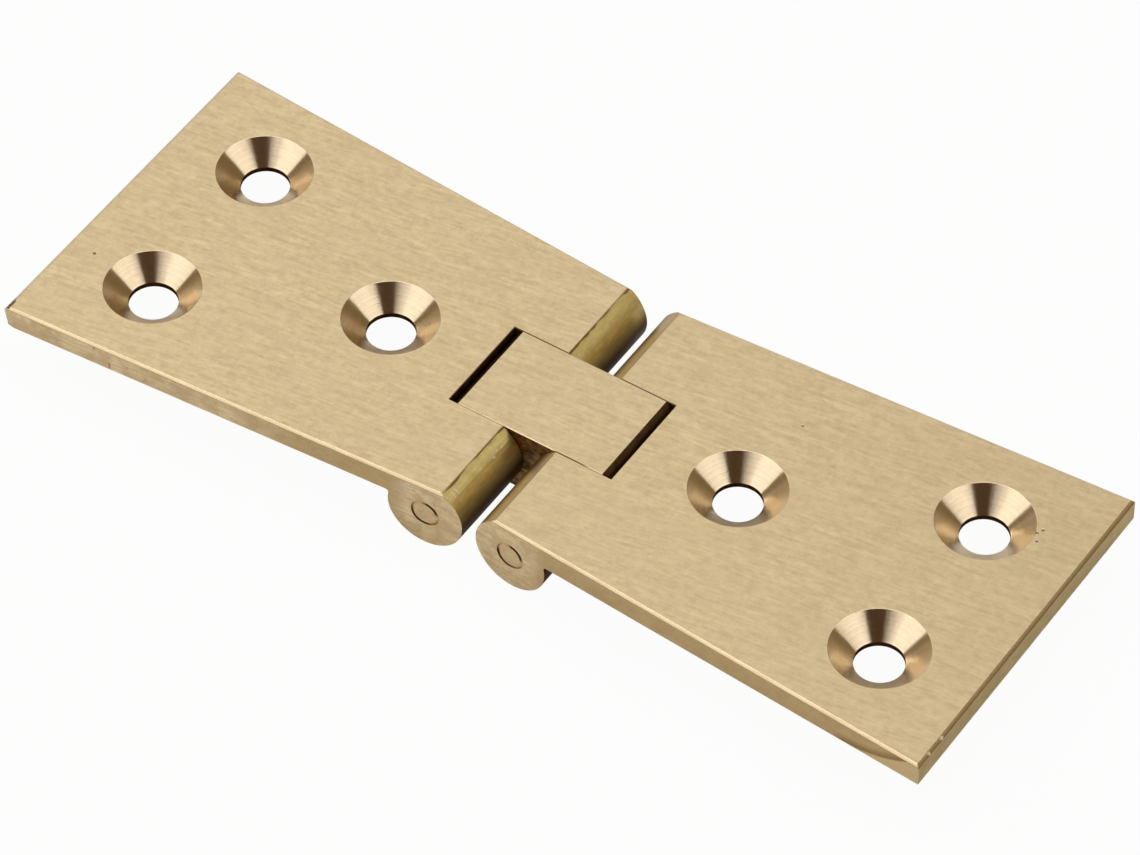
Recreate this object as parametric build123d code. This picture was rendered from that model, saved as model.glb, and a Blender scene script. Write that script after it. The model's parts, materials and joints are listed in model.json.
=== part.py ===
from build123d import *
import os
from math import hypot, sqrt

# Counter flap hinge in solid brass, lying open with its top faces flush.
# Two tapered leaves carry a round barrel under their inner ends. A short link
# sits in a slot in both barrels and turns on one pin in each, so that the flap
# leaf folds up and over onto the fixed leaf: a quarter turn at each pin.
#
# Frame: +X runs along the hinge to the flap leaf, +Y across it and +Z up. The
# pieces are drawn with their top faces at z = 0, then raised to stand on the
# feet of the barrels, with the origin under the middle of the link.
# All sizes are in millimetres.

# Leaves
LENGTH = 101.6  # over both leaves
OUTER_WIDTH = 38.1  # of a leaf at its outer end
NOSE_WIDTH = 31.4  # of a leaf at the nose of its barrel
LEAF_THICKNESS = 2.5

# Barrels under the inner ends
BARREL_DIAMETER = 8.0
BARREL_TOP_CUT = 0.4  # how much of the barrel's round the top face takes off
NOSE_GAP = 1.5  # between the two barrels
ROOT_RADIUS = 0.3  # where a barrel runs into the underside of its plate

# Link between the leaves
LINK_WIDTH = 11.0
LINK_OVERHANG = 3.3  # of the link's top past each pin's axis
LINK_SIDE_CLEARANCE = 0.05  # on each side of the link in its slot
SLOT_END_GAP = 1.05  # seen from above, past each end of the link
SWING_CLEARANCE = 0.2  # round the path of the link's top corner

# Pins, tight in the leaves and free in the link
PIN_DIAMETER = 3.0
LINK_BORE_CLEARANCE = 0.05  # on radius
PIN_END_BREAK = 0.2

# Countersunk screw holes, three in each leaf
SCREW_HOLE_DIAMETER = 4.8
COUNTERSINK_DIAMETER = 9.5
COUNTERSINK_ANGLE = 100.0  # degrees, included
OUTER_HOLE_INSET = 10.2  # from the leaf's outer end
OUTER_HOLE_SPACING = 18.4
INNER_HOLE_INSET = 10.4  # from the end of the link's slot

# Broken edges
SIDE_EDGE_BREAK = 0.25
END_EDGE_BREAK = 0.35
LINK_EDGE_BREAK = 0.06

# Worked out from the sizes above
END_X = LENGTH / 2
BARREL_RADIUS = BARREL_DIAMETER / 2
NOSE_X = NOSE_GAP / 2
PIN_X = NOSE_X + BARREL_RADIUS
PIN_DEPTH = BARREL_RADIUS - BARREL_TOP_CUT
PIN_RADIUS = PIN_DIAMETER / 2
LINK_END_X = PIN_X + LINK_OVERHANG
SLOT_END_X = LINK_END_X + SLOT_END_GAP
SLOT_WIDTH = LINK_WIDTH + 2 * LINK_SIDE_CLEARANCE
LINK_END_RADIUS = hypot(LINK_OVERHANG, PIN_DEPTH)  # from a pin's axis out to the top corner
SWING_RADIUS = LINK_END_RADIUS + SWING_CLEARANCE
DEPTH = PIN_DEPTH + BARREL_RADIUS  # from the top faces to the feet of the barrels
ROOT_X = PIN_X + sqrt(BARREL_RADIUS**2 - (PIN_DEPTH - LEAF_THICKNESS) ** 2)


def box_between(x, y, z):
    """A box from its lowest to its highest x, y and z."""
    size = [high - low for low, high in (x, y, z)]
    centre = [(low + high) / 2 for low, high in (x, y, z)]
    return Pos(*centre) * Box(*size)


def rectangle_between(x, z):
    """A rectangle in a side section, from its lowest to its highest x and z."""
    return Pos(sum(x) / 2, sum(z) / 2) * Rectangle(x[1] - x[0], z[1] - z[0])


def round_section(radius, pin_x):
    """A round about a pin in a side section, cut off at the top faces and at the feet."""
    circle = Pos(pin_x, -PIN_DEPTH) * Circle(radius)
    return circle & rectangle_between((pin_x - DEPTH, pin_x + DEPTH), (-DEPTH, 0))


def across(radius, pin_x):
    """A cylinder along a pin's axis, longer than the hinge is wide."""
    return Pos(pin_x, 0, -PIN_DEPTH) * Rot(90, 0, 0) * Cylinder(radius, 2 * OUTER_WIDTH)


def leaf_plan():
    """The flap leaf seen from above, tapering to the nose of its barrel, as a tall prism."""
    corners = [
        (NOSE_X, -NOSE_WIDTH / 2),
        (END_X, -OUTER_WIDTH / 2),
        (END_X, OUTER_WIDTH / 2),
        (NOSE_X, NOSE_WIDTH / 2),
    ]
    return extrude(make_face(Polyline(*corners, close=True)), 2 * DEPTH, both=True)


def leaf_section():
    """The flap leaf from the side: its plate, with the barrel under its inner end."""
    plate = rectangle_between((PIN_X, END_X), (-LEAF_THICKNESS, 0))
    section = plate + round_section(BARREL_RADIUS, PIN_X)
    root = section.vertices().sort_by_distance((ROOT_X, -LEAF_THICKNESS, 0))[0]
    return fillet(root, ROOT_RADIUS)


def screw_holes():
    """The countersunk holes of the flap leaf: a pair near its end and one by the slot."""
    outer_x = END_X - OUTER_HOLE_INSET
    places = [
        (outer_x, -OUTER_HOLE_SPACING / 2),
        (outer_x, OUTER_HOLE_SPACING / 2),
        (SLOT_END_X + INNER_HOLE_INSET, 0),
    ]
    hole = CounterSinkHole(
        SCREW_HOLE_DIAMETER / 2,
        COUNTERSINK_DIAMETER / 2,
        depth=2 * DEPTH,
        counter_sink_angle=COUNTERSINK_ANGLE,
    )
    return [Pos(x, y) * hole for x, y in places]


def top_edges(solid):
    """The straight edges round the top face of a solid."""
    return solid.edges().group_by(Axis.Z)[-1].filter_by(GeomType.LINE)


def break_edges(leaf):
    """Takes the sharp corner off the leaf's top edges, along both sides and its outer end."""
    sides = top_edges(leaf).sort_by(lambda edge: abs(edge.center().Y))[-2:]
    leaf = chamfer(sides, SIDE_EDGE_BREAK)
    outer_end = top_edges(leaf).sort_by(Axis.X)[-1]
    return chamfer(outer_end, END_EDGE_BREAK)


def flap_leaf():
    """The leaf on the +X side. The fixed leaf is the same piece, turned half round."""
    leaf = extrude(Plane.XZ * leaf_section(), OUTER_WIDTH, both=True) & leaf_plan()
    slot_y = (-SLOT_WIDTH / 2, SLOT_WIDTH / 2)
    leaf -= box_between((-SLOT_END_X, SLOT_END_X), slot_y, (-2 * DEPTH, DEPTH))
    # Below its lip the slot's end is hollowed, so that the link's top corner can swing past.
    leaf -= across(SWING_RADIUS, PIN_X) & box_between((-END_X, END_X), slot_y, (-2 * DEPTH, 0))
    leaf -= across(PIN_RADIUS, PIN_X)
    leaf -= screw_holes()
    return break_edges(leaf)


def link():
    """Flat on top and underneath, with ends round about the pins that fill the slots below."""
    section = rectangle_between((-PIN_X, PIN_X), (-DEPTH, 0))
    section += [round_section(LINK_END_RADIUS, -PIN_X), round_section(LINK_END_RADIUS, PIN_X)]
    body = extrude(Plane.XZ * section, LINK_WIDTH / 2, both=True)
    bore_radius = PIN_RADIUS + LINK_BORE_CLEARANCE
    body -= [across(bore_radius, -PIN_X), across(bore_radius, PIN_X)]
    return chamfer(top_edges(body).filter_by(Axis.X), LINK_EDGE_BREAK)


def flap_pin():
    """The pin through the flap leaf's barrel, filed off flush with the tapered sides."""
    pin = across(PIN_RADIUS, PIN_X) & leaf_plan()
    ends = pin.edges().filter_by(GeomType.ELLIPSE)
    return chamfer(ends, PIN_END_BREAK)


half_turn = Rot(0, 0, 180)
raised = Pos(0, 0, DEPTH)
nodes = {
    "fixed_leaf": raised * half_turn * flap_leaf(),
    "fixed_pin": raised * half_turn * flap_pin(),
    "link": raised * link(),
    "flap_pin": raised * flap_pin(),
    "flap_leaf": raised * flap_leaf(),
}

os.makedirs("parts", exist_ok=True)
for name, shape in nodes.items():
    export_step(shape, f"parts/{name}.step")
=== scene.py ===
import bmesh
import bpy
import json
from math import copysign, cos, hypot, pi, radians, sin
from mathutils import Matrix, Vector


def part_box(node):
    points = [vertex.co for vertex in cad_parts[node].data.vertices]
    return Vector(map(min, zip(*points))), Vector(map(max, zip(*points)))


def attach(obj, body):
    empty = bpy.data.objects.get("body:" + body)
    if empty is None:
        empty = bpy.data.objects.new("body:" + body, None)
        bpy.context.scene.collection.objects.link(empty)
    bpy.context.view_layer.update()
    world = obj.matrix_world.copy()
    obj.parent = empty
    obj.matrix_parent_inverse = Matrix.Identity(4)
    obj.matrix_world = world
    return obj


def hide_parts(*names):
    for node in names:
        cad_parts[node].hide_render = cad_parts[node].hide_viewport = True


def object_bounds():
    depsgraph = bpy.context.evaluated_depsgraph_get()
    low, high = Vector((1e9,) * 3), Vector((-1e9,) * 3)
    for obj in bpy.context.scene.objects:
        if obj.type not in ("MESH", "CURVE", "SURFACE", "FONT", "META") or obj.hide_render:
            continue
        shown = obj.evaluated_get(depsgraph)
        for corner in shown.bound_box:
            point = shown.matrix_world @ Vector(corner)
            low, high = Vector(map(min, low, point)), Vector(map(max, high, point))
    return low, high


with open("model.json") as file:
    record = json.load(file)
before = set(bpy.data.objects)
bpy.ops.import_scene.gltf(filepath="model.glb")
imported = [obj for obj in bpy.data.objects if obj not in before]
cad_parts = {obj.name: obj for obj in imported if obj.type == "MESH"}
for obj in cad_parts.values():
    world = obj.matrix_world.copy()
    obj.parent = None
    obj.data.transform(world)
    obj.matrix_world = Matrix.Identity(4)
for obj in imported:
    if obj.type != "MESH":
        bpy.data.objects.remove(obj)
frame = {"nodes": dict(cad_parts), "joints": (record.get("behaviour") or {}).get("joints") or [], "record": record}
cad_low, cad_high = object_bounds()

# Counter flap hinge in solid brass. Lengths named here are in millimetres, and
# pieces are made in millimetres and shrunk at the end. What the frame and its
# bounds give is in metres.
MM = 0.001

# Camera, at the photograph's viewing angle
CAMERA_AZIMUTH = 33.572  # degrees
CAMERA_ELEVATION = 47.927
CAMERA_DISTANCE = 631.15  # from the middle of the link's top
CAMERA_RIGHT = 0.698  # how far the camera is moved sideways and up in its own plane
CAMERA_UP = -2.370
CAMERA_LENS = 213.3
CAMERA_SENSOR = 36.0

# Floor, room and lamps
FLOOR_RADIUS = 3000.0
BACKDROP_HEIGHT = 400.0
BACKDROP_CURVE = 300.0
BACKDROP_STEPS = 8
FLOOR_SIDES = 64
FLOOR_WELD = 0.1
FLOOR_COLOUR = (0.9, 0.9, 0.9)
SEEN_WHITENESS = 0.96  # how much of the floor's own shading gives way to white
MIRRORED_WHITENESS = 0.12  # the same in reflections
HORIZON_COLOUR = (0.42, 0.31, 0.19)
ROOM_COLOUR = (0.17, 0.12, 0.06)
CAMERA_SIDE_COLOUR = (0.06, 0.032, 0.014)
ROOM_HEIGHTS = (0.12, 0.36)  # sines of the elevations between which the horizon's glow fades
CAMERA_SIDE_ANGLES = (18.0, 42.0)  # degrees from the camera between which that shade fades
LAMP_DISTANCE = 1000.0

# Places on the hinge, from the frame
RECORD = frame["record"]
MOUNTS = {mount["name"]: mount for mount in RECORD["mounts"]}
TOP_Z = cad_high.z / MM
END_X = cad_high.x / MM
SIDE_Y = cad_high.y / MM
UNDERSIDE_Z = MOUNTS["fixed_leaf_underside"]["pos_m"][2] / MM
PIN_AXIS = Vector(frame["joints"][1]["pos_m"]) / MM
PIN_X, PIN_Z = PIN_AXIS.x, PIN_AXIS.z
BARREL_RADIUS = PIN_Z  # the barrels stand on the ground
ARRIS_X = PIN_X - (BARREL_RADIUS**2 - (TOP_Z - PIN_Z) ** 2) ** 0.5
HOLE_RADIUS = MOUNTS["inner_screws"]["dims"]["hole_r_mm"]
OUTER_HOLE_X = abs(MOUNTS["flap_leaf_screws"]["pos_m"][0]) / MM
OUTER_HOLE_Y = MOUNTS["flap_leaf_screws"]["dims"]["spacing_y_mm"] / 2
INNER_HOLE_X = MOUNTS["inner_screws"]["dims"]["spacing_x_mm"] / 2
LINK_HALF_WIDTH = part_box("link")[1].y / MM
LINK_END_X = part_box("link")[1].x / MM  # of its rounded end, below its top
COUNTERSINK_RADIUS = 4.75  # as in the part's source
LIP_DEPTH = 0.25  # how far down the slot's sides keep a brass colour above the painted shade
HIGHLIGHT_DEPTH = 0.13  # how far down the broken edges keep a bright colour; below it, a darker one paints their highlight narrower
PIN_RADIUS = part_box("flap_pin")[1].z / MM - PIN_Z
BURR = 0.1  # on the slot's lower edge
BURR_REACH = 1.0  # past the link's end, where the slot's lower edge is looked for
SEAM_SHARE = 0.1  # how much each pin's end is drawn in, so that the ring round it shows
SEAM_SLANT = (0.62, 0, 0.79)  # towards one of the two sides where that ring stays open, with painted shade

# Where a look changes: it begins at the first place of two and is whole at the second
SIDE_SHADE_X = (-27.0, -16.0)  # the sides, bright by the fixed leaf's outer end, darken under painted shade
BEHIND_X = (PIN_X + 1.5, PIN_X + 3.0)  # painted shade behind a barrel, under its plate
CORNER_SHADE_Z = (0.5, 3.0)  # and up into the corner there
GAP_SIDE_X = (PIN_X + 1.0, PIN_X - 1.5)  # a barrel's side towards the gap
FIXED_GAP_SHADE_Z = (PIN_Z + 2.6, PIN_Z)  # painted shade, near-black brown, on that side of the fixed leaf's barrel
FOOT_Z = (0.5, 2.0)  # which fades again at its foot
FLAP_NOSE_SHADE_Z = (PIN_Z, PIN_Z + 1.8)  # painted shade, brown, on that side of the flap leaf's barrel
BRUSHED_Z = (TOP_Z - 1.3, TOP_Z - 0.1)  # the brushed top of it
ARRIS_LINE_Z = (TOP_Z + 0.13, TOP_Z + 0.20)  # the fixed arris's dark line, its waver added
SEAM_X = (ARRIS_X - 0.5, ARRIS_X)  # the link's edges that have a leaf beside them
DEEP_SEAM_X = (PIN_X + 2.0, PIN_X + 1.0)  # the darkest of them, in the flap leaf's slot
SMEAR = (-7.1, 0, 7.1)  # the middle of a pale smear above the fixed leaf's near pin
SMEAR_REACH = (0.9, 0.2)  # from its middle
SMEAR_FRAY = 1.2  # how far the brush lines shift its edge

# Finish
LEAF_ROUNDING = 0.04
FINE_ROUNDING = 0.02
ROUNDED_ANGLE = radians(25)  # the least angle of an edge that is rounded
ROUNDING_STEPS = 3
BRUSH_SLANT = radians(8)  # between the brush lines and the hinge's length

# A patch ground fresh on the flap leaf's near side, below a curve that starts at
# the underside and rises nearly to the top by the corner.
PATCH_LENGTH = 9.4
PATCH_HEIGHT = 2.3  # of the curve, where it ends
PATCH_END = 1.3  # from the corner
PATCH_CURVE = 2.2  # power of the rise
PATCH_DEPTH = 0.04
PATCH_STEP = 0.24  # between the cuts along it
PATCH_MARGIN = 0.08  # left uncut by the underside and by the corner
PATCH_TOP_MARGIN = 0.35  # left uncut below the top face
PATCH_START = 0.12  # share of its length in which its colours begin
PATCH_EDGE = 0.12  # how far below the curve the fresh metal is whole
PATCH_BAND = (-1.0, -0.25)  # above the curve, where the brown band begins and is whole

# How near counts as touching, and what counts as flat
SAME_PLACE = 0.001
WELD = 0.0005
FLAT_ANGLE = radians(0.5)
NEAR = 0.1  # to a surface or an edge that a face belongs to
SLOT_MARGIN = 0.5  # round the link, where a leaf's faces are its slot's
LEAF_EDGE_DEPTH = 0.5  # below the top, where a leaf's slanting faces are its broken edges
LINK_EDGE_DEPTH = 0.3

# How a face lies, by the part of its normal along an axis
ARRIS_FLAT = 0.99
FLAT = 0.98
PIN_END_FLAT = 0.95
SQUARE = 0.9
SLANTING = 0.5
SLIGHT = 0.3
BARELY = 0.1

# Small wear: each mark's middle, how far it reaches each way, how it is pushed in, and its finish
MARKS = {
    "fixed_leaf": [
        ((-39.2, -18.3, 5.6), (0.18, 0.3, 0.5), (0, 0.1, 0.03), "polished_brass"),
        ((-40.8, -18.4, 7.1), (0.2, 0.2, 0.2), (0, 0.06, -0.03), "polished_brass"),
        ((-50.8, -19.05, 5.1), (0.9, 0.9, 2.0), (0.15, 0.15, 0.0), "ground_brass"),
        ((-50.55, -18.3, 7.5), (0.4, 0.8, 0.35), (0.05, 0, -0.13), "pitted_brass"),
        ((-47.8, -8.7, 7.6), (0.2, 0.16, 0.3), (0, 0, -0.06), "pitted_brass"),
        ((-2.3, -14.3, 7.16), (0.5, 0.1, 0.4), (-0.01, 0, -0.015), "scraped_brass"),
        ((-2.25, -14.85, 7.12), (0.45, 0.1, 0.4), (-0.01, 0, -0.015), "scraped_brass"),
        ((-2.1, -8.0, 7.0), (0.15, 0.18, 0.25), (-0.01, 0, -0.015), "scraped_brass"),
        ((-2.0, -7.3, 6.9), (0.12, 0.2, 0.25), (-0.01, 0, -0.015), "scraped_brass"),
        ((-1.9, -8.7, 6.8), (0.12, 0.14, 0.25), (-0.01, 0, -0.015), "scraped_brass"),
    ],
    "flap_leaf": [
        ((45.6, 11.2, 7.6), (0.16, 0.18, 0.3), (0, 0, -0.07), "pitted_brass"),
        ((45.3, 10.6, 7.6), (0.2, 0.14, 0.3), (0, 0, -0.06), "pitted_brass"),
        ((45.8, 9.7, 7.6), (0.14, 0.16, 0.3), (0, 0, -0.05), "pitted_brass"),
        ((20.3, 9.9, 7.6), (0.15, 0.13, 0.3), (0, 0, -0.05), "pitted_brass"),
        ((50.6, -14.95, 7.4), (0.2, 0.25, 0.2), (-0.05, 0, -0.04), "scraped_brass"),
        ((50.6, -17.1, 7.4), (0.18, 0.2, 0.2), (-0.05, 0, -0.04), "scraped_brass"),
    ],
    "link": [((0.1, 0.85, 7.6), (0.06, 1.0, 0.1), (0, 0, -0.006), "brushed_brass")],
}
MARK_STEPS = (-1.0, -0.6, -0.2, 0.2, 0.6, 1.0)  # where the surface is cut, as shares of the reach
MARK_MARGIN = 1.3  # how far the cuts run, as a share of the reach
MARK_SHARE = 0.8  # of a mark's squared reach, inside which it has its finish


# Node helpers


class Shader:
    """Builds one material's node tree, in a few words per node."""

    def __init__(self, name):
        self.material = bpy.data.materials.new(name)
        self.material.use_nodes = True
        self.tree = self.material.node_tree
        self.bsdf = self.tree.nodes["Principled BSDF"]
        self.output = self.tree.nodes["Material Output"]
        in_metres = self.node("ShaderNodeTexCoord").outputs["Object"]
        self.place = self.scaled(in_metres, (1 / MM,) * 3)
        self.x, self.y, self.z = self.wired("ShaderNodeSeparateXYZ", (self.place,))
        self.from_middle = self.maths("ABSOLUTE", self.x)
        self.near_side = self.maths("LESS_THAN", self.y, 0)

    def node(self, kind, **settings):
        made = self.tree.nodes.new(kind)
        for key, value in settings.items():
            setattr(made, key, value)
        return made

    def put(self, socket, value):
        """Links a socket to another, or sets it to a plain value."""
        if isinstance(value, bpy.types.NodeSocket):
            self.tree.links.new(value, socket)
        else:
            socket.default_value = value

    def wired(self, kind, values, **settings):
        """Puts values to a new node's first inputs, in their order, and gives its outputs."""
        made = self.node(kind, **settings)
        for socket, value in zip(made.inputs, values):
            self.put(socket, value)
        return made.outputs

    def maths(self, operation, *values):
        return self.wired("ShaderNodeMath", values, operation=operation)[0]

    def product(self, first, *others):
        for other in others:
            first = self.maths("MULTIPLY", first, other)
        return first

    def vector_maths(self, operation, *vectors):
        """Gives two outputs, Vector and Value. The operation fills one of them."""
        return self.wired("ShaderNodeVectorMath", vectors, operation=operation)

    def scaled(self, vector, factors):
        return self.vector_maths("MULTIPLY", vector, factors)["Vector"]

    def moved(self, vector, step):
        return self.vector_maths("ADD", vector, step)["Vector"]

    def joined(self, x, y, z):
        return self.wired("ShaderNodeCombineXYZ", (x, y, z))[0]

    def in_world(self, vector):
        """Turns a direction on the piece into one in the room."""
        spaces = {"vector_type": "VECTOR", "convert_from": "OBJECT", "convert_to": "WORLD"}
        return self.wired("ShaderNodeVectorTransform", (vector,), **spaces)[0]

    def noise(self, vector, scale=1.0, detail=2.0, roughness=0.5):
        made = self.node("ShaderNodeTexNoise")
        self.put(made.inputs["Vector"], vector)
        self.put(made.inputs["Scale"], scale)
        self.put(made.inputs["Detail"], detail)
        self.put(made.inputs["Roughness"], roughness)
        return made.outputs["Fac"]

    def between(self, value, low, high, to_low=0.0, to_high=1.0, smooth=False):
        """Maps a value's range from low to high onto another range, and holds it at both ends."""
        kind = "SMOOTHSTEP" if smooth else "LINEAR"
        values = (value, low, high, to_low, to_high)
        return self.wired("ShaderNodeMapRange", values, interpolation_type=kind)[0]

    def blend(self, share, first, second):
        """Mixes two colours."""
        made = self.node("ShaderNodeMix", data_type="RGBA")
        self.put(made.inputs["Factor"], share)
        self.put(made.inputs[6], first)
        self.put(made.inputs[7], second)
        return made.outputs[2]

    def bump(self, height, depth):
        """Raises the surface by a height from 0 to 1 times a depth in millimetres."""
        made = self.node("ShaderNodeBump")
        self.put(made.inputs["Height"], height)
        self.put(made.inputs["Distance"], depth * MM)
        return made.outputs[0]

    def finish(self, colour, roughness, normal=None, grain=0.0, across=None, metallic=1.0, specular=0.5):
        """Sets the metal. Grain from 0 to 1 stretches its highlights along the across direction."""
        self.put(self.bsdf.inputs["Base Color"], colour)
        self.put(self.bsdf.inputs["Roughness"], roughness)
        self.put(self.bsdf.inputs["Metallic"], metallic)
        self.put(self.bsdf.inputs["Specular IOR Level"], specular)
        if normal is not None:
            self.put(self.bsdf.inputs["Normal"], normal)
        if across is not None:
            self.put(self.bsdf.inputs["Anisotropic"], grain)
            self.put(self.bsdf.inputs["Tangent"], self.in_world(across))
        return self.material


def rgb(red, green, blue):
    return (red, green, blue, 1.0)


# Materials


def streaks(shader, fine, long, seed, slant=0.0):
    """Brush lines along X, or turned from it by a slant: how many to a millimetre, and how long.
    A seed shifts them, so that two sets differ."""
    turned = shader.node("ShaderNodeVectorRotate", rotation_type="Z_AXIS")
    shader.put(turned.inputs["Vector"], shader.place)
    shader.put(turned.inputs["Angle"], -slant)
    sway = shader.product(shader.noise(shader.place, scale=0.12, detail=1.0), 0.7)
    swayed = shader.moved(turned.outputs[0], shader.joined(seed, sway, 0))
    return shader.noise(shader.scaled(swayed, (1 / long, fine, fine)), detail=3.0, roughness=0.6)


def brushed_brass():
    """The top faces: satin, with short soft brush lines that run nearly along the hinge."""
    shader = Shader("brushed_brass")
    fine = streaks(shader, fine=3.2, long=2.2, seed=0, slant=BRUSH_SLANT)
    middle = streaks(shader, fine=1.6, long=4.0, seed=40, slant=BRUSH_SLANT)
    broad = streaks(shader, fine=0.5, long=9.0, seed=80, slant=BRUSH_SLANT)
    mottle = shader.noise(shader.place, scale=1.5, detail=4.0, roughness=0.65)
    lines = shader.maths("MULTIPLY_ADD", fine, 0.34, shader.product(middle, 0.28))
    lines = shader.maths("MULTIPLY_ADD", mottle, 0.38, lines)
    tone = shader.between(lines, 0.385, 0.615)
    colour = shader.blend(tone, rgb(0.73, 0.595, 0.36), rgb(0.97, 0.815, 0.53))
    dimmed = shader.between(broad, 0.35, 0.65, to_high=0.35)
    colour = shader.blend(dimmed, colour, rgb(0.81, 0.665, 0.42))
    roughness = shader.between(lines, 0.3, 0.7, 0.43, 0.33)
    across = (-sin(BRUSH_SLANT), cos(BRUSH_SLANT), 0)
    return shader.finish(colour, roughness, shader.bump(lines, 0.004), grain=0.6, across=across)


def turned_brass():
    """The countersinks: bright, with fine turning marks round each hole."""
    shader = Shader("turned_brass")
    outer = shader.maths("GREATER_THAN", shader.from_middle, (OUTER_HOLE_X + INNER_HOLE_X) / 2)
    hole_x = shader.between(outer, 0, 1, INNER_HOLE_X, OUTER_HOLE_X)
    hole_x = shader.product(hole_x, shader.maths("SIGN", shader.x))
    hole_y = shader.product(shader.maths("SIGN", shader.y), outer, OUTER_HOLE_Y)
    out_x = shader.maths("SUBTRACT", shader.x, hole_x)
    out_y = shader.maths("SUBTRACT", shader.y, hole_y)
    out = shader.joined(out_x, out_y, 0)
    from_hole = shader.vector_maths("LENGTH", out)["Value"]
    rings = shader.noise(shader.joined(from_hole, 0, 0), scale=9.0)
    clouds = shader.noise(shader.place, scale=1.3, detail=3.0, roughness=0.6)
    marks = shader.between(rings, 0.35, 0.65)
    colour = shader.blend(marks, rgb(0.87, 0.72, 0.50), rgb(0.94, 0.79, 0.58))
    clouded = shader.between(clouds, 0.45, 0.75, to_high=0.5)
    colour = shader.blend(clouded, colour, rgb(0.80, 0.63, 0.40))
    roughness = shader.between(marks, 0, 1, 0.22, 0.15)
    return shader.finish(colour, roughness, shader.bump(marks, 0.0015), grain=0.7, across=out)


def in_smear(shader, lines):
    """How strong the pale smear on the fixed leaf's near side is. Brush lines fray its edge."""
    frayed = shader.maths("MULTIPLY_ADD", lines, SMEAR_FRAY, shader.z)
    off_smear = shader.vector_maths("DISTANCE", shader.joined(shader.x, 0, frayed), SMEAR)
    return shader.product(shader.between(off_smear["Value"], *SMEAR_REACH), 0.6, shader.near_side)


def in_patch(shader):
    """How far a place lies below the fresh patch's curve, and how much of the patch is there."""
    along = shader.between(shader.x, END_X - PATCH_LENGTH, END_X - PATCH_END)
    curve = shader.product(shader.maths("POWER", along, PATCH_CURVE), PATCH_HEIGHT)
    below = shader.maths("SUBTRACT", curve, shader.maths("SUBTRACT", shader.z, UNDERSIDE_Z))
    return below, shader.product(shader.near_side, shader.between(along, 0.0, PATCH_START))


def ground_brass():
    """The narrow sides: ground and cloudy, and for the most part dull, darkened by painted shade away from
    the fixed leaf's outer end, with a pale smear near the fixed pin and the fresh patch by one corner,
    under a brown band."""
    shader = Shader("ground_brass")
    lines = streaks(shader, fine=3.5, long=4.0, seed=7)
    clouds = shader.noise(shader.place, scale=0.5, detail=5.0, roughness=0.68)
    specks = shader.noise(shader.place, scale=2.6, detail=3.0, roughness=0.6)
    colour = shader.blend(shader.between(lines, 0.36, 0.64), rgb(0.81, 0.66, 0.40), rgb(1.0, 0.86, 0.56))
    clouded = shader.between(clouds, 0.44, 0.60, to_high=0.7)
    colour = shader.blend(clouded, colour, rgb(0.72, 0.55, 0.33))
    colour = shader.blend(in_smear(shader, lines), colour, rgb(0.80, 0.78, 0.62))
    # Painted shade: the sides darken from the fixed leaf's outer end on, but not on the barrels' ends.
    off_barrel = shader.between(shader.from_middle, PIN_X + BARREL_RADIUS / 2, PIN_X + BARREL_RADIUS)
    dull = shader.product(off_barrel, shader.between(shader.x, *SIDE_SHADE_X, smooth=True), 0.8)
    colour = shader.blend(dull, colour, rgb(0.63, 0.47, 0.24))
    specked = shader.between(specks, 0.62, 0.72, to_high=0.5)
    colour = shader.blend(specked, colour, rgb(0.50, 0.37, 0.20))
    below, there = in_patch(shader)
    above_edge = shader.between(below, PATCH_EDGE, 0.0)
    band = shader.product(shader.between(below, *PATCH_BAND), above_edge, there, 0.85)
    colour = shader.blend(band, colour, rgb(0.40, 0.24, 0.09))
    fresh = shader.product(shader.between(below, 0.0, PATCH_EDGE), there, 0.8)
    colour = shader.blend(fresh, colour, rgb(0.83, 0.68, 0.39))
    roughness = shader.between(clouds, 0.3, 0.7, 0.42, 0.55)
    return shader.finish(colour, roughness, shader.bump(lines, 0.006), grain=0.4, across=(0, 0, 1))


def end_brass():
    """The leaves' outer ends: sawn and left duller, with a green cast."""
    shader = Shader("end_brass")
    sawn = shader.noise(shader.scaled(shader.place, (3.0, 0.5, 5.0)), detail=3.0, roughness=0.6)
    clouds = shader.noise(shader.place, scale=0.6, detail=4.0, roughness=0.65)
    colour = shader.blend(shader.between(sawn, 0.3, 0.7), rgb(0.52, 0.42, 0.20), rgb(0.68, 0.55, 0.28))
    clouded = shader.between(clouds, 0.4, 0.7, to_high=0.5)
    colour = shader.blend(clouded, colour, rgb(0.46, 0.37, 0.17))
    roughness = shader.between(clouds, 0.3, 0.7, 0.4, 0.52)
    return shader.finish(colour, roughness, shader.bump(sawn, 0.008))


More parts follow.
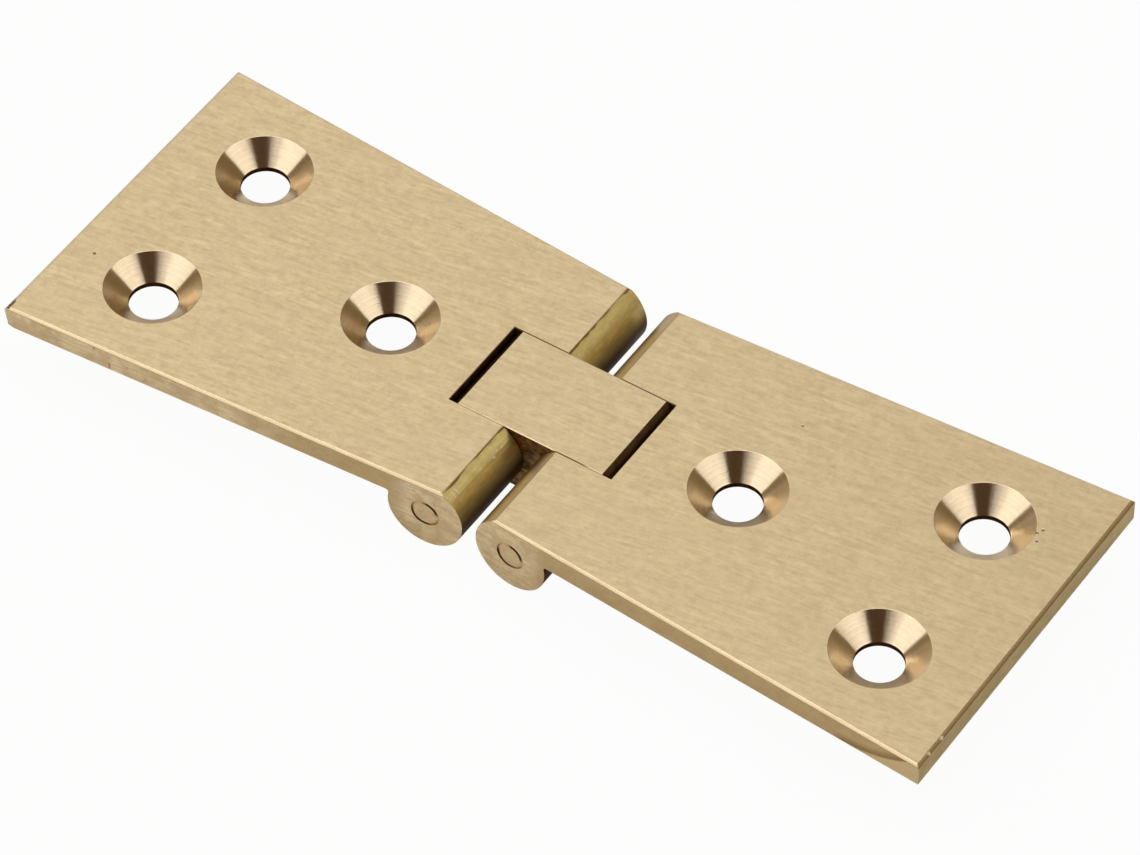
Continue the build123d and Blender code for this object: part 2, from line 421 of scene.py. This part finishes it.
def barrel_colour(shader):
    """As drawn, olive gold, with drawing marks across the hinge, and painted shade, near black, in the
    corner behind it under the plate. Gives the colour, the marks, the clouds, how far a place is on
    the gap's side, and how much of that painted shade it has."""
    drawn = shader.noise(shader.scaled(shader.place, (3.0, 0.6, 3.0)), detail=3.0)
    clouds = shader.noise(shader.place, scale=0.7, detail=4.0, roughness=0.65)
    specks = shader.noise(shader.place, scale=3.0)
    colour = shader.blend(shader.between(drawn, 0.3, 0.7), rgb(0.73, 0.60, 0.22), rgb(0.87, 0.73, 0.32))
    clouded = shader.between(clouds, 0.4, 0.7, to_high=0.5)
    colour = shader.blend(clouded, colour, rgb(0.60, 0.44, 0.16))
    specked = shader.between(specks, 0.66, 0.74, to_high=0.6)
    colour = shader.blend(specked, colour, rgb(0.95, 0.85, 0.52))
    # Painted shade: the barrel's outer side darkens up into the corner under its plate.
    behind = shader.between(shader.from_middle, *BEHIND_X, smooth=True)
    dirt_and_corner_shade = shader.product(behind, shader.between(shader.z, *CORNER_SHADE_Z, smooth=True))
    colour = shader.blend(dirt_and_corner_shade, colour, rgb(0.08, 0.04, 0.016))
    gap_side = shader.between(shader.from_middle, *GAP_SIDE_X, smooth=True)
    return colour, drawn, clouds, gap_side, dirt_and_corner_shade


def barrel_finish(shader, colour, roughness, drawn, painted_shade):
    """The finish that both barrels share. Where painted shade lies, the metal's sheen goes too."""
    normal = shader.bump(drawn, 0.004)
    unshaded = shader.maths("SUBTRACT", 1.0, painted_shade)
    return shader.finish(
        colour, roughness, normal, grain=0.3, across=(1, 0, 0), metallic=unshaded, specular=0.1
    )


def barrel_brass():
    """The fixed leaf's barrel: painted shade, near-black brown, lower down towards the gap, under a dark line by
    its arris.
    """
    shader = Shader("barrel_brass")
    colour, drawn, clouds, gap_side, dirt_and_corner_shade = barrel_colour(shader)
    # Painted shade on the round towards the gap, lower down, fading again at its foot.
    low = shader.product(gap_side, shader.between(shader.z, *FIXED_GAP_SHADE_Z, smooth=True))
    low = shader.product(low, shader.between(shader.z, *FOOT_Z, smooth=True))
    colour = shader.blend(low, colour, rgb(0.08, 0.035, 0.014))
    waver = shader.noise(shader.place, scale=0.35)
    height = shader.maths("MULTIPLY_ADD", waver, 0.5, shader.z)
    colour = shader.blend(shader.between(height, *ARRIS_LINE_Z), colour, rgb(0.22, 0.12, 0.05))
    roughness = shader.between(clouds, 0.3, 0.7, 0.28, 0.42)
    return barrel_finish(shader, colour, roughness, drawn, shader.maths("MAXIMUM", low, dirt_and_corner_shade))


def nose_brass():
    """The flap leaf's barrel: brushed over the arris, then brown painted shade for a little way down its round."""
    shader = Shader("nose_brass")
    colour, drawn, clouds, gap_side, dirt_and_corner_shade = barrel_colour(shader)
    # Painted shade, brown, on the round towards the gap, below its brushed top.
    high = shader.between(shader.z, *FLAP_NOSE_SHADE_Z, to_high=0.8, smooth=True)
    colour = shader.blend(shader.product(gap_side, high), colour, rgb(0.30, 0.18, 0.08))
    brushed = shader.between(shader.z, *BRUSHED_Z, smooth=True)
    colour = shader.blend(brushed, colour, rgb(0.85, 0.705, 0.45))
    roughness = shader.between(clouds, 0.3, 0.7, 0.34, 0.45)
    return barrel_finish(shader, colour, roughness, drawn, dirt_and_corner_shade)


def polished_brass():
    """Worn smooth: the broken top edges, with a bright colour only in a strip at the top, so that a darker colour
    below paints their highlight narrower, and small dents lower down, darker.
    """
    shader = Shader("polished_brass")
    lines = streaks(shader, fine=3.0, long=2.5, seed=19)
    # Painted narrowing of the highlight: bright colour only near the top of each broken edge.
    high = shader.between(shader.z, TOP_Z - 2 * HIGHLIGHT_DEPTH, TOP_Z - HIGHLIGHT_DEPTH)
    colour = shader.blend(shader.between(lines, 0.3, 0.7), rgb(0.88, 0.72, 0.47), rgb(0.94, 0.78, 0.53))
    colour = shader.blend(high, rgb(0.62, 0.47, 0.26), colour)
    return shader.finish(colour, shader.between(lines, 0.3, 0.7, 0.27, 0.22))


def filed_brass():
    """The pins' ends: filed flush, with marks one way."""
    shader = Shader("filed_brass")
    filed = shader.noise(shader.scaled(shader.place, (2.0, 2.0, 7.0)), detail=3.0)
    clouds = shader.noise(shader.place, scale=1.1, detail=3.0)
    colour = shader.blend(shader.between(filed, 0.3, 0.7), rgb(0.74, 0.58, 0.34), rgb(0.90, 0.73, 0.45))
    clouded = shader.between(clouds, 0.5, 0.7, to_high=0.4)
    colour = shader.blend(clouded, colour, rgb(0.60, 0.44, 0.24))
    return shader.finish(colour, 0.45, shader.bump(filed, 0.005))


def seam_brass():
    """The pins' round sides, which show as a ring about each end: near black on two sides, painted shade
    in the ring's open gap, and smeared shut by the file between them."""
    shader = Shader("seam_brass")
    patches = shader.noise(shader.place, scale=1.2)
    across = shader.maths("SUBTRACT", shader.from_middle, PIN_X)
    across = shader.product(across, shader.maths("SIGN", shader.x))
    from_axis = shader.joined(across, 0, shader.maths("SUBTRACT", shader.z, PIN_Z))
    slanting = shader.vector_maths("DOT_PRODUCT", from_axis, SEAM_SLANT)["Value"]
    reach = shader.maths("ADD", shader.maths("ABSOLUTE", slanting), patches)
    # Painted shade: near black where the ring stays open.
    colour = shader.blend(shader.between(reach, 1.15, 1.6), rgb(0.84, 0.66, 0.41), rgb(0.12, 0.06, 0.025))
    return shader.finish(colour, 0.5, shader.bump(patches, 0.01))


def tarnished_brass():
    """The slots and the screw holes' bores, in painted shade, and the fixed leaf's arris: near black and
    without sheen, but for the topmost part between the link's ends, which keeps a brass colour."""
    shader = Shader("tarnished_brass")
    clouds = shader.noise(shader.place, scale=0.9, detail=4.0)
    # Painted shade: near black, with no metal and no sheen.
    colour = shader.blend(shader.between(clouds, 0.3, 0.7), rgb(0.03, 0.010, 0.005), rgb(0.09, 0.04, 0.016))
    beside_link = shader.maths("LESS_THAN", shader.from_middle, LINK_END_X)
    lip = shader.product(shader.between(shader.z, TOP_Z - LIP_DEPTH, TOP_Z), beside_link)
    colour = shader.blend(lip, colour, rgb(0.62, 0.46, 0.26))
    return shader.finish(colour, 0.6, shader.bump(clouds, 0.01), metallic=0.0, specular=0.0)


def stained_brass():
    """The link's long sides, brown and specked."""
    shader = Shader("stained_brass")
    clouds = shader.noise(shader.place, scale=0.8, detail=5.0, roughness=0.6)
    specks = shader.noise(shader.scaled(shader.place, (1.5, 1, 3.5)), detail=3.0)
    colour = shader.blend(shader.between(clouds, 0.4, 0.62), rgb(0.22, 0.11, 0.04), rgb(0.66, 0.42, 0.17))
    specked = shader.between(specks, 0.56, 0.68, to_high=0.7)
    colour = shader.blend(specked, colour, rgb(0.80, 0.62, 0.38))
    return shader.finish(colour, 0.45, shader.bump(clouds, 0.01))


def seamed_brass():
    """The link's long top edges: a brighter colour over the gap, a painted highlight, and darker in places beside
    the leaves.
    """
    shader = Shader("seamed_brass")
    patches = shader.noise(shader.place, scale=0.5, detail=3.0)
    flap_side = shader.maths("GREATER_THAN", shader.x, 0)
    deep = shader.product(shader.near_side, flap_side, shader.between(shader.x, *DEEP_SEAM_X))
    dark = shader.maths("MAXIMUM", deep, shader.between(patches, 0.48, 0.62, to_high=0.6))
    beside_leaf = shader.blend(dark, rgb(0.82, 0.67, 0.42), rgb(0.16, 0.08, 0.035))
    # Painted highlight: the edges take a brighter colour where they lie over the open gap.
    beside = shader.between(shader.from_middle, *SEAM_X)
    colour = shader.blend(beside, rgb(0.98, 0.84, 0.58), beside_leaf)
    return shader.finish(colour, 0.25, shader.bump(patches, 0.003))


def browned_brass():
    """The link's ends and bores and its short top edges, down in the slots: deep brown painted shade, with a dull
    sheen.
    """
    shader = Shader("browned_brass")
    clouds = shader.noise(shader.place, scale=0.9, detail=4.0)
    # Painted shade: deep brown, for the dark of the slots.
    colour = shader.blend(shader.between(clouds, 0.3, 0.7), rgb(0.08, 0.04, 0.016), rgb(0.14, 0.075, 0.033))
    return shader.finish(colour, 0.5, shader.bump(clouds, 0.008))


def pitted_brass():
    """The dents and pits, with dirt in them."""
    shader = Shader("pitted_brass")
    dirt_and_corner_shade = shader.noise(shader.place, scale=4.0, detail=3.0)
    colour = shader.blend(shader.between(dirt_and_corner_shade, 0.35, 0.65), rgb(0.16, 0.10, 0.05), rgb(0.40, 0.29, 0.16))
    return shader.finish(colour, 0.6, shader.bump(dirt_and_corner_shade, 0.02), metallic=0.5)


def scraped_brass():
    """Small fresh scrapes, paler than the metal round them."""
    shader = Shader("scraped_brass")
    grit = shader.noise(shader.place, scale=6.0)
    colour = shader.blend(shader.between(grit, 0.35, 0.65), rgb(0.88, 0.76, 0.44), rgb(1.0, 0.90, 0.62))
    return shader.finish(colour, 0.5, shader.bump(grit, 0.005), metallic=0.7)


def planed_brass():
    """The undersides, planed along the hinge and a little dull."""
    shader = Shader("planed_brass")
    planed = streaks(shader, fine=2.2, long=20.0, seed=61)
    clouds = shader.noise(shader.place, scale=0.3, detail=4.0, roughness=0.6)
    colour = shader.blend(shader.between(planed, 0.3, 0.7), rgb(0.72, 0.56, 0.32), rgb(0.80, 0.64, 0.38))
    clouded = shader.between(clouds, 0.42, 0.68, to_high=0.3)
    colour = shader.blend(clouded, colour, rgb(0.62, 0.46, 0.24))
    roughness = shader.between(clouds, 0.3, 0.7, 0.36, 0.48)
    return shader.finish(colour, roughness, shader.bump(planed, 0.008), grain=0.5, across=(0, 1, 0))


# Pieces


def reaches(face, low, high):
    """True if a face's own box goes into the box from low to high."""
    for axis in range(3):
        places = [vert.co[axis] for vert in face.verts]
        if min(places) > high[axis] - SAME_PLACE or max(places) < low[axis] + SAME_PLACE:
            return False
    return True


def cut_across(shape, low, high, axis, place):
    """Cuts the faces that go into a box by a plane across one axis."""
    normal = Vector([float(axis == other) for other in range(3)])
    faces = [face for face in shape.faces if reaches(face, low, high)]
    edges = {edge for face in faces for edge in face.edges}
    verts = {vert for face in faces for vert in face.verts}
    geometry = faces + list(edges) + list(verts)
    bmesh.ops.bisect_plane(
        shape, geom=geometry, dist=SAME_PLACE, plane_co=normal * place, plane_no=normal
    )


def cut_grid(shape, low, high, cuts):
    """Cuts the surface round a box off from the rest, then inside it by planes along each axis."""
    for axis in range(3):
        for place in (low[axis], high[axis]):
            cut_across(shape, low, high, axis, place)
    for axis, places in enumerate(cuts):
        for place in places:
            cut_across(shape, low, high, axis, place)


def from_mark(place, middle, reach):
    """How far a place is from a mark's middle, squared, where 1 is the mark's rim."""
    return sum(((place[axis] - middle[axis]) / reach[axis]) ** 2 for axis in range(3))


def press_mark(shape, middle, reach, push):
    """Presses a small smooth hollow into the surface."""
    middle, reach, push = Vector(middle), Vector(reach), Vector(push)
    cuts = [[middle[axis] + reach[axis] * step for step in MARK_STEPS] for axis in range(3)]
    cut_grid(shape, middle - MARK_MARGIN * reach, middle + MARK_MARGIN * reach, cuts)
    for vert in shape.verts:
        share = from_mark(vert.co, middle, reach)
        if share < 1:
            vert.co += push * (1 - share) ** 2


def grind_patch(shape):
    """Grinds the flap leaf's near side a little lower, below the patch's curve."""
    start, end = END_X - PATCH_LENGTH, END_X - PATCH_END
    low = Vector((start, -SIDE_Y - 1, UNDERSIDE_Z + PATCH_MARGIN))
    high = Vector((END_X - PATCH_MARGIN, -SIDE_Y + 1, TOP_Z - PATCH_TOP_MARGIN))
    along = [start + PATCH_STEP * step for step in range(1, int(PATCH_LENGTH / PATCH_STEP))]
    rises = int((high.z - low.z) / PATCH_STEP * 2)
    upward = [low.z + PATCH_STEP / 2 * step for step in range(1, rises)]
    cut_grid(shape, low, high, [along, [], upward])
    for vert in shape.verts:
        if not start < vert.co.x < END_X or vert.co.y > high.y or vert.co.z > high.z:
            continue
        share = min((vert.co.x - start) / (end - start), 1)
        below = PATCH_HEIGHT * share**PATCH_CURVE - (vert.co.z - UNDERSIDE_Z)
        inside = min(below, vert.co.z - UNDERSIDE_Z, END_X - vert.co.x)
        if inside > 0:
            vert.co.y += PATCH_DEPTH * min(inside / PATCH_STEP, 1)


def raise_burr(shape):
    """Draws the lower edge at the slot's end in a little towards the link, as a cutter's burr."""
    for vert in shape.verts:
        x, y, z = vert.co
        in_slot = abs(y) < LINK_HALF_WIDTH + NEAR
        at_end = LINK_END_X < abs(x) < LINK_END_X + BURR_REACH
        if in_slot and at_end and abs(z - UNDERSIDE_Z) < SAME_PLACE:
            vert.co.x -= copysign(BURR, x)


def draw_in_ends(shape, axis_x):
    """Draws the ends of a pin in a little towards its axis."""
    for vert in shape.verts:
        out = Vector((vert.co.x - axis_x, 0, vert.co.z - PIN_Z))
        if out.length < PIN_RADIUS - SAME_PLACE:
            vert.co -= out * SEAM_SHARE


def worn_mesh(node):
    """A node's own mesh in millimetres, with its doubled points joined and its wear pressed in."""
    mesh = frame["nodes"][node].data.copy()
    mesh.transform(Matrix.Scale(1 / MM, 4))
    if mesh.has_custom_normals:
        mesh.attributes.remove(mesh.attributes["custom_normal"])
    shape = bmesh.new()
    shape.from_mesh(mesh)
    bmesh.ops.remove_doubles(shape, verts=shape.verts, dist=WELD)
    bmesh.ops.dissolve_limit(
        shape,
        angle_limit=FLAT_ANGLE,
        verts=shape.verts,
        edges=shape.edges,
        use_dissolve_boundaries=False,
    )
    if node in ("fixed_leaf", "flap_leaf"):
        raise_burr(shape)
    if node == "flap_leaf":
        grind_patch(shape)
    if node in ("fixed_pin", "flap_pin"):
        draw_in_ends(shape, PIN_X if node == "flap_pin" else -PIN_X)
    for middle, reach, push, _ in MARKS.get(node, []):
        press_mark(shape, middle, reach, push)
    shape.to_mesh(mesh)
    shape.free()
    return mesh


def rounded(piece, width):
    """Rounds the piece's edges and keeps its flat faces flat."""
    bevel = piece.modifiers.new("rounding", "BEVEL")
    bevel.limit_method = "ANGLE"
    bevel.angle_limit = ROUNDED_ANGLE
    bevel.width = width
    bevel.segments = ROUNDING_STEPS
    bevel.use_clamp_overlap = False
    bevel.miter_outer = "MITER_ARC"
    bevel.harden_normals = True
    graph = bpy.context.evaluated_depsgraph_get()
    mesh = bpy.data.meshes.new_from_object(piece.evaluated_get(graph), depsgraph=graph)
    piece.modifiers.clear()
    old, piece.data = piece.data, mesh
    bpy.data.meshes.remove(old)


def on_barrel(centre):
    """True on the round of a barrel, down to where it meets its plate."""
    from_pin = hypot(abs(centre.x) - PIN_X, centre.z - PIN_Z)
    past_arris = abs(centre.x) < PIN_X or centre.z < UNDERSIDE_Z
    in_reach = abs(centre.x) < PIN_X + BARREL_RADIUS
    return from_pin > BARREL_RADIUS - NEAR and past_arris and in_reach


def on_arris(centre):
    """True on the edge between a top face and its barrel's round."""
    return abs(abs(centre.x) - ARRIS_X) < NEAR and centre.z > TOP_Z - NEAR


def hole_near(centre):
    """The distance from a point to the nearest screw hole's axis."""
    x, y = abs(centre.x), abs(centre.y)
    return min(hypot(x - OUTER_HOLE_X, y - OUTER_HOLE_Y), hypot(x - INNER_HOLE_X, y))


def mark_finish(node, centre):
    """The finish in the middle of a mark, or None away from the marks."""
    for middle, reach, _, finish in MARKS.get(node, []):
        if from_mark(centre, middle, reach) < MARK_SHARE:
            return finish
    return None


def leaf_finish(centre, normal):
    """Which finish a face of a leaf has, by where it is and how it lies."""
    from_hole = hole_near(centre)
    if from_hole < HOLE_RADIUS + NEAR and normal.z < SLANTING:
        return "tarnished_brass"
    if from_hole < COUNTERSINK_RADIUS + NEAR and normal.z < FLAT:
        return "turned_brass"
    if on_arris(centre) and normal.z < ARRIS_FLAT:
        return "nose_brass" if centre.x > 0 else "tarnished_brass"
    if normal.z > FLAT:
        return "brushed_brass"
    along_slot = abs(centre.x) < LINK_END_X + SLOT_MARGIN
    if along_slot and abs(centre.y) < LINK_HALF_WIDTH + SLOT_MARGIN:
        return "tarnished_brass"
    if on_barrel(centre) and abs(normal.y) < SLANTING:
        return "nose_brass" if centre.x > 0 else "barrel_brass"
    if normal.z > SLIGHT and centre.z > TOP_Z - LEAF_EDGE_DEPTH:
        return "polished_brass"
    if normal.z < -SQUARE:
        return "planed_brass"
    return "end_brass" if abs(normal.x) > SQUARE else "ground_brass"


def link_finish(centre, normal):
    if normal.z > FLAT:
        return "brushed_brass"
    at_top = centre.z > TOP_Z - LINK_EDGE_DEPTH and normal.z > BARELY
    if at_top and abs(normal.x) < SLIGHT:
        return "seamed_brass"
    if normal.z < -SQUARE:
        return "planed_brass"
    return "stained_brass" if abs(normal.y) > SLANTING else "browned_brass"


def pin_finish(centre, normal):
    return "filed_brass" if abs(normal.y) > PIN_END_FLAT else "seam_brass"


def dressed(node, body, rounding, finish_of):
    """Makes the visible piece for a node: its own form, worn, rounded and finished face by face."""
    piece = bpy.data.objects.new(node + "_finished", worn_mesh(node))
    bpy.context.scene.collection.objects.link(piece)
    rounded(piece, rounding)
    mesh = piece.data
    mesh.materials.clear()
    names = sorted(materials)
    for name in names:
        mesh.materials.append(materials[name])
    for face in mesh.polygons:
        finish = mark_finish(node, face.center) or finish_of(face.center, face.normal)
        face.material_index = names.index(finish)
    mesh.transform(Matrix.Scale(MM, 4))
    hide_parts(node)
    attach(piece, body)


# Studio


def direction(azimuth, elevation):
    """A unit vector towards a place round the hinge. Azimuth 0 is in front, on the -Y side."""
    a, e = radians(azimuth), radians(elevation)
    return Vector((sin(a) * cos(e), -cos(a) * cos(e), sin(e)))


def make_camera():
    back = direction(CAMERA_AZIMUTH, CAMERA_ELEVATION)
    right = direction(CAMERA_AZIMUTH + 90, 0)
    up = back.cross(right)
    data = bpy.data.cameras.new("camera")
    data.lens = CAMERA_LENS
    data.sensor_width = CAMERA_SENSOR
    camera = bpy.data.objects.new("camera", data)
    place = back * CAMERA_DISTANCE + right * CAMERA_RIGHT + up * CAMERA_UP + Vector((0, 0, TOP_Z))
    camera.location = place * MM
    camera.rotation_mode = "QUATERNION"
    camera.rotation_quaternion = (-back).to_track_quat("-Z", "Y")
    bpy.context.scene.collection.objects.link(camera)
    bpy.context.scene.camera = camera


def soft_box(name, azimuth, elevation, sides, rise, brightness):
    """A rectangular lamp in a plane that faces the hinge, where a brightness of 1 is white.
    Its two sides and its low and high edges are given as shares of its distance."""
    towards = direction(azimuth, elevation)
    right = direction(azimuth + 90, 0)
    up = towards.cross(right)
    data = bpy.data.lights.new(name, "AREA")
    data.shape = "RECTANGLE"
    data.size = (sides[1] - sides[0]) * LAMP_DISTANCE * MM
    data.size_y = (rise[1] - rise[0]) * LAMP_DISTANCE * MM
    data.energy = pi * data.size * data.size_y * brightness
    lamp = bpy.data.objects.new(name, data)
    middle = towards + right * sum(sides) / 2 + up * sum(rise) / 2
    lamp.location = middle * LAMP_DISTANCE * MM
    lamp.rotation_mode = "QUATERNION"
    lamp.rotation_quaternion = (-towards).to_track_quat("-Z", "Y")
    lamp.visible_camera = False
    bpy.context.scene.collection.objects.link(lamp)


def make_lamps():
    """A lamp on each side of the camera, one beyond the hinge and a strip overhead. The left one
    fades out in steps on its right."""
    left, right = CAMERA_AZIMUTH - 63, CAMERA_AZIMUTH + 66
    soft_box("left_lamp", left, 48, sides=(-0.72, 0.15), rise=(-0.38, 0.14), brightness=1.07)
    for step, brightness in enumerate((0.85, 0.55, 0.25)):
        inner = 0.15 + 0.16 * step
        sides = (inner, inner + 0.16)
        soft_box("left_lamp_edge", left, 48, sides, rise=(-0.3, 0.3), brightness=brightness)
    soft_box("right_lamp", right, 48, sides=(-0.36, 0.53), rise=(-0.36, 0.15), brightness=0.95)
    far, over = CAMERA_AZIMUTH + 205, CAMERA_AZIMUTH + 190
    soft_box("far_lamp", far, 42, sides=(-0.6, 0.6), rise=(-0.3, 0.3), brightness=0.69)
    soft_box("top_lamp", over, 82, sides=(-0.6, 0.6), rise=(-0.2, 0.2), brightness=2.0)


def make_world():
    """A dim warm room that glows a little at the horizon, darkest round the camera."""
    world = bpy.data.worlds.new("studio")
    world.use_nodes = True
    tree = world.node_tree
    place = tree.nodes.new("ShaderNodeTexCoord").outputs["Generated"]

    def faded(value, low, high, first, second):
        share = tree.nodes.new("ShaderNodeMapRange")
        share.interpolation_type = "SMOOTHSTEP"
        share.inputs["From Min"].default_value = low
        share.inputs["From Max"].default_value = high
        tree.links.new(value, share.inputs["Value"])
        shade = tree.nodes.new("ShaderNodeMix")
        shade.data_type = "RGBA"
        tree.links.new(share.outputs["Result"], shade.inputs["Factor"])
        for socket, colour in ((shade.inputs[6], first), (shade.inputs[7], second)):
            if isinstance(colour, tuple):
                socket.default_value = rgb(*colour)
            else:
                tree.links.new(colour, socket)
        return shade.outputs[2]

    height = tree.nodes.new("ShaderNodeSeparateXYZ")
    tree.links.new(place, height.inputs[0])
    room = faded(height.outputs["Z"], *ROOM_HEIGHTS, HORIZON_COLOUR, ROOM_COLOUR)
    towards = tree.nodes.new("ShaderNodeVectorMath")
    towards.operation = "DOT_PRODUCT"
    towards.inputs[1].default_value = direction(CAMERA_AZIMUTH, CAMERA_ELEVATION)
    tree.links.new(place, towards.inputs[0])
    inner, outer = (cos(radians(angle)) for angle in CAMERA_SIDE_ANGLES)
    room = faded(towards.outputs["Value"], outer, inner, room, CAMERA_SIDE_COLOUR)
    tree.links.new(room, tree.nodes["Background"].inputs["Color"])
    bpy.context.scene.world = world


def floor_material():
    """Pale. Plain white stands in for nearly all of its shading as the camera sees it, and for a
    little of it in reflections."""
    shader = Shader("floor")
    path = shader.node("ShaderNodeLightPath")
    glossy, through = path.outputs["Is Glossy Ray"], path.outputs["Is Transmission Ray"]
    mirrored = shader.product(shader.maths("MAXIMUM", glossy, through), MIRRORED_WHITENESS)
    seen = shader.product(path.outputs["Is Camera Ray"], SEEN_WHITENESS)
    plain = shader.node("ShaderNodeBsdfDiffuse")
    plain.inputs["Color"].default_value = rgb(*FLOOR_COLOUR)
    white = shader.node("ShaderNodeEmission")
    mix = shader.node("ShaderNodeMixShader")
    shader.put(mix.inputs[0], shader.maths("MAXIMUM", seen, mirrored))
    shader.put(mix.inputs[1], plain.outputs[0])
    shader.put(mix.inputs[2], white.outputs[0])
    shader.put(shader.output.inputs["Surface"], mix.outputs[0])
    return shader.material


def make_floor():
    """A round floor that curves up into a low backdrop all round."""
    profile = [(0, 0), (FLOOR_RADIUS - BACKDROP_CURVE, 0)]
    for step in range(1, BACKDROP_STEPS + 1):
        angle = step * pi / 2 / BACKDROP_STEPS
        x = FLOOR_RADIUS - BACKDROP_CURVE * (1 - sin(angle))
        profile.append((x, BACKDROP_CURVE * (1 - cos(angle))))
    profile.append((FLOOR_RADIUS, BACKDROP_HEIGHT))
    shape = bmesh.new()
    points = [shape.verts.new((x, 0, z)) for x, z in profile]
    edges = [shape.edges.new(pair) for pair in zip(points, points[1:])]
    bmesh.ops.spin(
        shape, geom=points + edges, axis=(0, 0, 1), cent=(0, 0, 0), angle=2 * pi, steps=FLOOR_SIDES
    )
    bmesh.ops.remove_doubles(shape, verts=shape.verts, dist=FLOOR_WELD)
    mesh = bpy.data.meshes.new("floor")
    shape.to_mesh(mesh)
    shape.free()
    mesh.transform(Matrix.Scale(MM, 4))
    mesh.polygons.foreach_set("use_smooth", [True] * len(mesh.polygons))
    mesh.materials.append(floor_material())
    floor = bpy.data.objects.new("floor", mesh)
    bpy.context.scene.collection.objects.link(floor)


bpy.context.scene.view_settings.view_transform = "Standard"
materials = {
    made.name: made
    for made in (
        brushed_brass(), turned_brass(), ground_brass(), end_brass(), barrel_brass(), nose_brass(),
        polished_brass(), filed_brass(), seam_brass(), tarnished_brass(), stained_brass(),
        seamed_brass(), browned_brass(), pitted_brass(), scraped_brass(), planed_brass(),
    )
}
dressed("fixed_leaf", "fixed_side", LEAF_ROUNDING, leaf_finish)
dressed("flap_leaf", "flap_side", LEAF_ROUNDING, leaf_finish)
dressed("link", "link", FINE_ROUNDING, link_finish)
dressed("fixed_pin", "fixed_side", FINE_ROUNDING, pin_finish)
dressed("flap_pin", "flap_side", FINE_ROUNDING, pin_finish)
make_floor()
make_world()
make_lamps()
make_camera()
